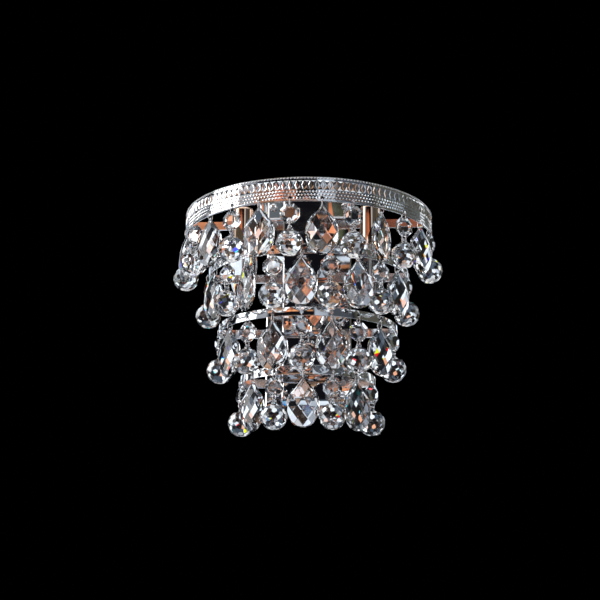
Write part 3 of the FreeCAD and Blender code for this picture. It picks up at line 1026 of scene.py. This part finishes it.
    def build(self) -> None:
        """Roll, drill and dress the four bands, and dress their back bars."""
        for tier in ("top", "second", "third", "fourth"):
            low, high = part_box(f"{tier}_band")
            crown = tier == "top"
            radius = high.x - (self.rim_reach if crown else 0)
            tall = self.crown_high if crown else self.plain_high
            band = self.rolled(f"{tier}_hoop", radius, low.z, self.thick, tall, self.soft_edge)
            if crown:
                rim = self.rolled("top_rim", radius + self.rim_reach, low.z, self.thick + self.rim_reach,
                                  self.rim_high, self.rim_round * self.rim_reach)
                Shop.cut(band, rim, "UNION")
            self.drill_row(band, tier)
            Shop.smooth(band, 30)
            fit(band, CHROME, ROOT_BODY, f"{tier}_band")
            if crown:
                self.relief(radius, low.z)
            dress(frame["nodes"][f"{tier}_back_bar"], BRUSHED)


# ---- Back plate, lamp box and lamps ----
@dataclass
class WallFixings:
    """Back plate, wall bracket, studs, dome nuts and the screws of the bars."""

    nut_across: float = 9.0 * MM
    nut_collar: float = 2.4 * MM
    nut_edge: float = 0.2 * MM
    nut_seat: float = 0.96
    dome: float = 0.93
    dome_steps: int = 6
    nut_sides: int = 28
    head: float = 7.0 * MM
    head_high: float = 2.4 * MM
    head_profile: Profile = ((0.5, 1.0), (0.85, 0.8), (1.0, 0.4))
    head_sides: int = 24
    slot_wide: float = 1.0 * MM
    slot_turns: tuple[float, float] = (0.4, 1.3)
    shank: float = 3.8 * MM
    shank_long: float = 6.0 * MM
    stud_lead: float = 0.4 * MM
    stud_seat: float = 0.42
    stud_core: float = 0.46
    stud_tip: float = 0.4
    stud_sides: int = 20

    def nut(self) -> Piece:
        """Round-collared dome nut, its seat at the origin and its dome towards -Y.

        Returns:
            The nut.
        """
        half, rim = self.nut_across / 2, self.nut_collar + self.nut_edge
        sections = [(0, self.nut_seat * half), (self.nut_edge, half), (self.nut_collar, half),
                    (rim, self.dome * half)]
        for step in range(1, self.dome_steps):
            rise = QUARTER * step / self.dome_steps
            sections.append((rim + math.sin(rise) * half, math.cos(rise) * self.dome * half))
        piece = Shop.lathe("nut_pattern", sections, self.nut_sides)
        piece.data.transform(Matrix.Rotation(QUARTER, 4, "X"))
        return piece

    def screw(self) -> Piece:
        """Slotted screw, the seat of its head at the origin and its head towards -Y.

        Returns:
            The screw.
        """
        half, high = self.head / 2, self.head_high
        sections = [(-self.shank_long, self.shank / 2), (0, self.shank / 2), (SQUARE_STEP, half)]
        sections += [(rise * high, wide * half) for rise, wide in self.head_profile]
        piece = Shop.lathe("screw_pattern", sections, self.head_sides)
        Shop.clear()
        bpy.ops.mesh.primitive_cube_add(
            size=1, location=(0, 0, high), scale=(2 * self.head, self.slot_wide, high))
        Shop.cut(piece, Shop.named("slot"))
        piece.data.transform(Matrix.Rotation(QUARTER, 4, "X"))
        return piece

    def stud(self, across: float, long: float) -> Piece:
        """Threaded stud along Z with a broken edge at each end.

        Args:
            across: Its width.
            long: Its length.

        Returns:
            The stud.
        """
        core = across * self.stud_core
        return Shop.lathe(
            "stud", [(0, across * self.stud_seat), (self.stud_lead, core), (long - self.stud_lead, core),
                     (long, across * self.stud_tip)], self.stud_sides)

    def build(self) -> None:
        """Place the fixings where the frame has them and dress the plate and bracket."""
        low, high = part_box("dome_nuts")
        half = self.nut_across / 2
        nut = self.nut()
        spots = [(low.x + half, high.y, 0), (high.x - half, high.y, 0)]
        nuts = [Shop.copied(nut, "dome_nut_pair", Matrix.Translation(spot)) for spot in spots]
        fit(Shop.join("dome_nut_pair", nuts), CHROME, ROOT_BODY, "dome_nuts")
        screw = self.screw()
        low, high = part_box("bar_screws")
        heads = []
        for tier in ("top", "second", "third", "fourth"):
            bar_low, bar_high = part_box(f"{tier}_back_bar")
            level = (bar_low.z + bar_high.z) / 2
            for side, turn in zip((low.x + self.head / 2, high.x - self.head / 2), self.slot_turns):
                place = Matrix.Translation((side, bar_low.y, level)) @ Matrix.Rotation(turn, 4, "Y")
                heads.append(Shop.copied(screw, "slotted_bar_screws", place))
        fit(Shop.join("slotted_bar_screws", heads), ZINC, ROOT_BODY, "bar_screws")
        low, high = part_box("bracket_studs")
        across = high.z - low.z
        studs = []
        for side in (low.x + across / 2, high.x - across / 2):
            stud = self.stud(across, high.y - low.y)
            stud.data.transform(Matrix.Translation((side, high.y, 0)) @ Matrix.Rotation(QUARTER, 4, "X"))
            studs.append(stud)
        fit(Shop.join("threaded_studs", studs), ZINC, ROOT_BODY, "bracket_studs")
        dress(frame["nodes"]["wall_plate"], MIRROR)
        dress(frame["nodes"]["wall_bracket"], ZINC)
        for pattern in (nut, screw):
            bpy.data.objects.remove(pattern)


@dataclass
class Lamps:
    """Lamp box and, on each side, the bent arm, the lampholder and the candle bulb."""

    arm_across: float = 9.6 * MM
    arm_wall: float = 1.4 * MM
    arm_under: float = 5.4 * MM
    arm_half: float = 5.0 * MM
    arm_sides: int = 24
    bend: float = 12.0 * MM
    bend_steps: int = 12
    holder_share: float = 0.985
    holder_sides: int = 48
    foot_profile: Profile = ((0.01, 0.6), (0.6, 0.0), (3.2, 0.0), (3.6, 0.9))
    top_profile: Profile = ((4.0, 0.9), (3.0, 1.1), (1.5, 2.2), (0.4, 4.4))
    neck: float = 6.6 * MM
    socket_deep: float = 25.0 * MM
    socket_play: float = 0.4 * MM
    round_sides: int = 32
    glass_share: float = 0.97
    glass_wall: float = 0.7 * MM
    glass_gap: float = 0.3 * MM
    glass_sides: int = 40
    belly_start: float = 0.2
    belly_lean: float = 0.78
    belly_full: float = 0.9
    tip: float = 0.3 * MM
    bulb_steps: int = 22
    cap_across: float = 13.6 * MM
    cap_seat: float = 0.98
    thread_turns: int = 5
    thread_root: float = 0.93
    thread_start: float = 1.5 * MM
    cap_shoulder: float = 0.6
    cap_end: float = 0.35
    stem_profile: Profile = ((34.0, 1.2), (12.0, 1.6), (1.0, 4.0))
    stem_sides: int = 16
    coil_reach: float = 5.0 * MM
    coil_wire: float = 0.25 * MM

    @staticmethod
    def upright(low: Vector, high: Vector) -> Matrix:
        """Move from the origin to the upright axis of a node's box."""
        return Matrix.Translation(((low.x + high.x) / 2, (low.y + high.y) / 2, 0))

    def arm(self, side: str, sign: int) -> Piece:
        """Bent round tube of one side.

        Args:
            side: Right or left.
            sign: 1 or -1 along X.

        Returns:
            The arm.
        """
        low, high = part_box(f"{side}_lamp_arm")
        level = high.z - self.arm_under
        depth = (low.y + high.y) / 2
        start = low.x if sign > 0 else -high.x
        end = (high.x if sign > 0 else -low.x) - self.arm_half
        Shop.clear()
        bpy.ops.mesh.primitive_circle_add(
            vertices=self.arm_sides, radius=self.arm_across / 2, location=(start, depth, level),
            rotation=(0, QUARTER, 0))
        piece = Shop.named(f"{side}_bent_arm")
        with Shop.shaping(piece, edges=True):
            Shop.extrude(end - self.bend - start, 0, 0)
            bpy.ops.mesh.spin(steps=self.bend_steps, angle=QUARTER,
                              center=(end - self.bend, depth, level - self.bend), axis=(0, 1, 0))
            Shop.extrude(0, 0, low.z - level + self.bend)
        Shop.outward(piece)
        Shop.modify(piece, "SOLIDIFY", thickness=self.arm_wall, offset=-1)
        if sign < 0:
            piece.data.transform(Matrix.Scale(-1, 4, (1, 0, 0)))
            Shop.outward(piece)
        return Shop.smooth(piece, 40)

    def bulb_radius(self, share: float, half: float) -> float:
        """Radius of the candle bulb at a share of its height, from its neck at 0 to its tip at 1."""
        along = self.belly_start + (1 - self.belly_start) * share
        return max(half * math.sin(math.pi * along**self.belly_lean) ** self.belly_full, self.tip)

    def bulb(self, side: str) -> None:
        """Candle bulb, tip down: glass, screw cap and the filament on its stem.

        Args:
            side: Right or left.
        """
        low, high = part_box(f"{side}_bulb")
        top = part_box(f"{side}_lampholder")[0].z - self.glass_gap
        half = (high.x - low.x) / 2 * self.glass_share
        place = self.upright(low, high)
        shares = [step / self.bulb_steps for step in range(self.bulb_steps + 1)]
        sections = [(low.z + (1 - share) * (top - low.z), self.bulb_radius(share, half))
                    for share in reversed(shares)]
        glass = Shop.lathe(f"{side}_candle_glass", sections, self.glass_sides)
        hollow = [(height, max(radius - self.glass_wall, 0.1 * MM)) for height, radius in sections[1:-1]]
        Shop.cut(glass, Shop.lathe("hollow", hollow, self.glass_sides))
        glass.data.transform(place)
        fit(Shop.smooth(glass, 40), ENVELOPE, ROOT_BODY, f"{side}_bulb")
        cap = self.screw_cap(side, top, high.z)
        cap.data.transform(place)
        fit(cap, NICKEL, ROOT_BODY)
        stem = Shop.lathe("stem", [(top - fall * MM, reach * MM) for fall, reach in self.stem_profile],
                              self.stem_sides)
        Shop.clear()
        bpy.ops.mesh.primitive_torus_add(
            major_segments=20, minor_segments=6, major_radius=self.coil_reach, minor_radius=self.coil_wire,
            location=(0, 0, top - self.stem_profile[0][0] * MM))
        filament = Shop.join(f"{side}_filament", [Shop.named("coil"), stem])
        filament.data.transform(place)
        fit(Shop.smooth(filament, 40), ZINC, ROOT_BODY)

    def screw_cap(self, side: str, foot: float, top: float) -> Piece:
        """Threaded cap between two heights.

        Args:
            side: Right or left.
            foot: Height of its lower end.
            top: Height of its upper end.

        Returns:
            The cap.
        """
        half = self.cap_across / 2
        root, step = half * self.thread_root, (top - foot - 2 * self.thread_start) / self.thread_turns
        sections = [(foot - 0.5 * MM, half * self.cap_seat), (foot + 1 * MM, root)]
        for turn in range(self.thread_turns):
            start = foot + self.thread_start + turn * step
            sections += [(start, root), (start + 0.3 * step, half), (start + 0.7 * step, half)]
        sections += [(top - self.thread_start, half * self.cap_shoulder), (top, half * self.cap_end)]
        return Shop.lathe(f"{side}_screw_cap", sections, self.round_sides)

    def holder(self, side: str) -> None:
        """Lampholder sleeve with a rounded shoulder and a turned foot ring.

        Args:
            side: Right or left.
        """
        low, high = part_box(f"{side}_lampholder")
        half = (high.x - low.x) / 2 * self.holder_share
        bore = self.cap_across / 2 + self.socket_play
        sections = [(low.z, bore)]
        sections += [(low.z + rise * MM, half - inset * MM) for rise, inset in self.foot_profile]
        sections += [(high.z - fall * MM, half - inset * MM) for fall, inset in self.top_profile]
        piece = Shop.lathe(f"{side}_sleeve", sections + [(high.z, self.neck)], self.holder_sides)
        socket = [(low.z - 1 * MM, bore), (low.z + self.socket_deep, bore)]
        Shop.cut(piece, Shop.lathe("socket", socket, self.round_sides))
        piece.data.transform(self.upright(low, high))
        # The sleeve's warm orange tint is a painted reflection, not its own colour.
        fit(Shop.smooth(piece, 40), PAINTED_REFLECTION_SLEEVE, ROOT_BODY, f"{side}_lampholder")

    def build(self) -> None:
        """Build both lamps and dress the lamp box."""
        for side, sign in (("right", 1), ("left", -1)):
            fit(self.arm(side, sign), CHROME, ROOT_BODY, f"{side}_lamp_arm")
            self.holder(side)
            self.bulb(side)
        dress(frame["nodes"]["lamp_box"], MIRROR)


# ---- Studio ----
@dataclass(frozen=True)
class Panel:
    """Part of the room that metal and glass show: place, half size and soft edge in degrees, its light."""

    azimuth: float
    half_azimuth: float
    height: float
    half_height: float
    soft: float
    colour: Colour
    strength: float


WHITE = (1.0, 1.0, 1.0)
COOL = (0.95, 0.98, 1.0)
PALE_BLUE = (0.85, 0.92, 1.0)
COPPER = (0.85, 0.36, 0.15)
STEEL_BLUE = (0.6, 0.7, 0.75)


@dataclass
class Studio:
    """Camera, pale floor, soft lamps and the dark room that metal and glass show."""

    target: Triple = (0.0, 0.0, -0.1567)
    away: float = 1.48558
    yaw: float = 3.928
    below: float = 13.2606
    roll: float = 0.343
    lens: float = 73.85
    shift: tuple[float, float] = (-0.015615, 0.056858)
    floor_level: float = -1.8
    fill: float = 0.35
    dark: Colour = (0.006, 0.006, 0.008)
    split: float = 0.0028
    cell_scale: float = 5.0
    behind: float = 0.15
    above: float = 40.0
    under: float = -2.0
    aside_share: float = 0.8
    warm_height: float = 22.0
    warm_half: float = 3.5
    warm_behind: float = 0.82
    bright_from: float = 0.80
    middle_from: float = 0.5
    crisp: float = 30.0
    bright: float = 1.3
    middle: float = 0.12
    copper: Colour = (0.95, 0.42, 0.19)
    pale: Colour = (0.86, 0.94, 1.02)
    panels: tuple[Panel, ...] = (
        # bright white at the left and its dim neighbour
        Panel(-82, 16, 18, 30, 2, WHITE, 3.2),
        Panel(-57, 7, 18, 30, 4, (0.8, 0.84, 0.9), 0.45),
        # copper and brown in front
        Panel(-28, 20, 23, 4.2, 0.8, (0.27, 0.11, 0.055), 1.0),
        Panel(-28, 20, 16.4, 2.7, 0.6, COPPER, 0.9),
        Panel(6, 3.5, 16.4, 2.7, 0.6, COPPER, 0.7),
        Panel(-23, 3.5, 21, 7, 1.5, (0.9, 0.22, 0.1), 0.55),
        Panel(-12, 3, 20, 6, 1, (0.5, 0.2, 0.1), 0.5),
        Panel(1.5, 1.6, 19, 2.5, 0.5, (0.8, 0.2, 0.1), 0.5),
        Panel(-8.2, 1.4, 19, 2.5, 0.5, (0.4, 0.08, 0.05), 0.6),
        # slim cool stripes on the box and plate
        Panel(-5.75, 0.45, 19.3, 0.9, 0.1, STEEL_BLUE, 0.22),
        Panel(-2.95, 0.1, 18.6, 0.9, 0.1, STEEL_BLUE, 0.3),
        Panel(-2.55, 0.12, 18.6, 0.9, 0.1, (0.5, 0.55, 0.25), 0.4),
        # cool and then olive at the right
        Panel(20, 7.5, 16, 30, 1.5, (0.78, 0.88, 1.0), 0.62),
        Panel(44, 15, 14, 30, 3, (0.7, 0.8, 0.95), 0.09),
        Panel(108, 40, 10, 34, 6, (0.80, 0.78, 0.58), 0.11),
        # warm below and above, white overhead
        Panel(-18, 30, -12, 8, 5, (0.95, 0.48, 0.22), 0.5),
        Panel(-20, 30, 46, 6, 4, (0.95, 0.52, 0.26), 0.6),
        Panel(0, 180, 72, 10, 6, WHITE, 1.0),
        # slim white strips at the sides, behind and below
        Panel(-134, 2.5, 12, 34, 2, COOL, 1.0),
        Panel(-150, 2.5, -4, 22, 3, PALE_BLUE, 0.7),
        Panel(136, 3.5, 10, 36, 3, COOL, 1.0),
        Panel(151, 2, -8, 20, 3, PALE_BLUE, 0.6),
        Panel(176, 16, -37, 5, 4, COOL, 0.9),
        Panel(-165, 12, 44, 4, 3, COOL, 0.8),
        Panel(-30, 10, -44, 10, 4, WHITE, 1.0),
        Panel(40, 12, -30, 10, 4, (0.9, 0.95, 1.0), 0.8),
    )

    def camera(self) -> None:
        """Camera at the photograph's viewing angle, below the light and a little to its right."""
        yaw, below, roll = (math.radians(angle) for angle in (self.yaw, self.below, self.roll))
        ahead = Vector((-math.sin(yaw) * math.cos(below), math.cos(yaw) * math.cos(below), math.sin(below)))
        side = ahead.cross(Vector((0, 0, 1))).normalized()
        up = side.cross(ahead)
        right = side * math.cos(roll) + up * math.sin(roll)
        top = up * math.cos(roll) - side * math.sin(roll)
        spot = Vector(self.target) - ahead * self.away
        data = bpy.data.cameras.new("photo_camera")
        data.lens = self.lens
        data.shift_x, data.shift_y = self.shift
        data.clip_start = 0.01
        view = bpy.data.objects.new("photo_camera", data)
        view.matrix_world = Matrix.Translation(spot) @ Matrix((right, top, -ahead)).transposed().to_4x4()
        bpy.context.scene.collection.objects.link(view)
        bpy.context.scene.camera = view

    def floor(self) -> None:
        """Plain pale floor far below, which the light's metal and glass don't show."""
        Shop.clear()
        bpy.ops.mesh.primitive_plane_add(size=60, location=(0, -1, self.floor_level))
        floor = Shop.named("pale_floor")
        made = bpy.data.materials.new("pale_floor_paint")
        made.use_nodes = True
        bench = Bench(made.node_tree)
        shader = bench.node("BsdfPrincipled", Roughness=0.8,
                            Base_Color=bench.mix(bench.noise(6.0), (0.72, 0.72, 0.71), (0.68, 0.68, 0.67)))
        bench.node("OutputMaterial", Surface=shader.outputs[0])
        floor.data.materials.append(made)
        floor.visible_glossy = False
        floor.visible_transmission = False

    def room(self) -> None:
        """World: black behind the light, panels in the metal and glass, and an even soft fill."""
        world = bpy.data.worlds.new("dark_room")
        world.use_nodes = True
        bpy.context.scene.world = world
        bench = Bench(world.node_tree)
        spot = bench.node("TexCoord").outputs["Generated"]
        way = bench.node("SeparateXYZ", Vector=spot)
        x, y, z = (bench.signal(way, axis) for axis in "XYZ")
        azimuth = x.math("ARCTAN2", y * -1.0) * math.degrees(1)
        height = z.math("ARCSINE") * math.degrees(1)
        glow = bench.node("Background", Color=(*self.dark, 1), Strength=1.0).outputs[0]
        for panel in self.panels:
            mask = (azimuth.near(panel.azimuth, panel.half_azimuth, panel.soft)
                    * height.near(panel.height, panel.half_height, panel.soft))
            light = bench.node("Background", Color=(*panel.colour, 1), Strength=mask * panel.strength)
            glow = self.joined(bench, glow, light.outputs[0])
        glow = self.joined(bench, glow, self.glints(bench, spot, y, height))
        path = bench.node("LightPath")
        shown = bench.signal(path, "Is Glossy Ray").math("MAXIMUM", bench.signal(path, "Is Transmission Ray"))
        soft = bench.node("Background", Color=(1, 1, 1, 1), Strength=self.fill).outputs[0]
        black = bench.node("Background", Color=(0, 0, 0, 1), Strength=0.0).outputs[0]
        seen = self.switched(bench, shown, soft, glow)
        final = self.switched(bench, bench.signal(path, "Is Camera Ray"), seen, black)
        bench.node("OutputWorld", Surface=final)

    def glints(self, bench: Bench, spot: Socket, y: Signal, height: Signal) -> Socket:
        """Patchwork of lights behind and round the light, warm high up and cool low down, split into colours.

        Args:
            bench: Bench of the world.
            spot: The direction.
            y: Its part towards the wall.
            height: Its angle above the horizon.

        Returns:
            The patchwork's shader.
        """
        behind = (y - self.behind).math("MULTIPLY", 8.0, clamp=True)
        over = (height - self.above).math("MULTIPLY", 0.2, clamp=True)
        aside = over + (self.under - height).math("MULTIPLY", 0.2, clamp=True)
        share = behind.math("MAXIMUM", aside * self.aside_share)
        straight = (y - self.warm_behind).math("MULTIPLY", 12.0, clamp=True)
        warm = height.near(self.warm_height, self.warm_half, 1.5) * straight
        drift = bench.signal(bench.node("TexNoise", Vector=spot, Scale=7.0, Detail=2.0)) * 1.3 + 0.25
        shades = []
        for step, (cool, hot) in zip((-1, 0, 1), zip(self.pale, self.copper)):
            moved = bench.node("VectorMath", {"operation": "ADD"})
            feed(bench.tree, moved.inputs[0], spot)
            feed(bench.tree, moved.inputs[1], (step * self.split, 0.0, -0.5 * step * self.split))
            cells = bench.node("TexVoronoi", Vector=moved.outputs[0], Scale=self.cell_scale)
            tone = bench.signal(bench.node("SeparateColor", Color=cells.outputs["Color"]), "Red")
            bright = (tone + warm * 0.25 - self.bright_from).math("MULTIPLY", self.crisp, clamp=True)
            middle = (tone - self.middle_from).math("MULTIPLY", self.crisp, clamp=True)
            tint = warm * (hot - cool) + cool
            shades.append((bright * self.bright * tint + middle * self.middle * cool**4) * share * drift)
        blend = bench.node("CombineColor", Red=shades[0], Green=shades[1], Blue=shades[2])
        return bench.node("Background", Color=blend.outputs[0], Strength=1.0).outputs[0]

    @staticmethod
    def joined(bench: Bench, first: Socket, second: Socket) -> Socket:
        """Sum of two shaders.

        Args:
            bench: Bench of the world.
            first: One shader.
            second: The other.

        Returns:
            The sum.
        """
        node = bench.node("AddShader")
        feed(bench.tree, node.inputs[0], first)
        feed(bench.tree, node.inputs[1], second)
        return node.outputs[0]

    @staticmethod
    def switched(bench: Bench, share: Signal, first: Socket,
                 second: Socket) -> Socket:
        """First shader where the share is 0 and second where it is 1.

        Args:
            bench: Bench of the world.
            share: The share.
            first: One shader.
            second: The other.

        Returns:
            The mixed shader.
        """
        node = bench.node("MixShader", Fac=share)
        feed(bench.tree, node.inputs[1], first)
        feed(bench.tree, node.inputs[2], second)
        return node.outputs[0]

    def lamp(self, name: str, spot: Triple, size: float, power: float) -> None:
        """Soft square lamp that looks at the light.

        Args:
            name: Its name.
            spot: Its place.
            size: Its side.
            power: Its power.
        """
        data = bpy.data.lights.new(name, "AREA")
        data.size = size
        data.energy = power
        lamp = bpy.data.objects.new(name, data)
        lamp.location = spot
        lamp.rotation_euler = (Vector(self.target) - Vector(spot)).to_track_quat("-Z", "Y").to_euler()
        lamp.visible_camera = False
        lamp.visible_glossy = False
        lamp.visible_transmission = False
        bpy.context.scene.collection.objects.link(lamp)

    def build(self) -> None:
        """Set the studio up."""
        self.camera()
        self.floor()
        self.room()
        self.lamp("left_softbox", (-1.5, -1.0, 0.5), 0.9, 14.0)
        self.lamp("right_softbox", (1.4, -1.4, 0.6), 0.7, 7.0)
        self.lamp("top_softbox", (0.0, -0.5, 1.4), 0.8, 9.0)
        bpy.context.scene.view_settings.view_transform = "Standard"


def main() -> None:
    """Build the studio and every assembly, and log each as it is done."""
    logging.basicConfig(level=logging.INFO, format="%(name)s %(message)s")
    for assembly in (Studio(), Bands(), CrystalStrings(), WallFixings(), Lamps()):
        assembly.build()
        log.info("%s done", type(assembly).__name__)
    Shop.clear()
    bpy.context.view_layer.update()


if __name__ == "__main__":
    main()
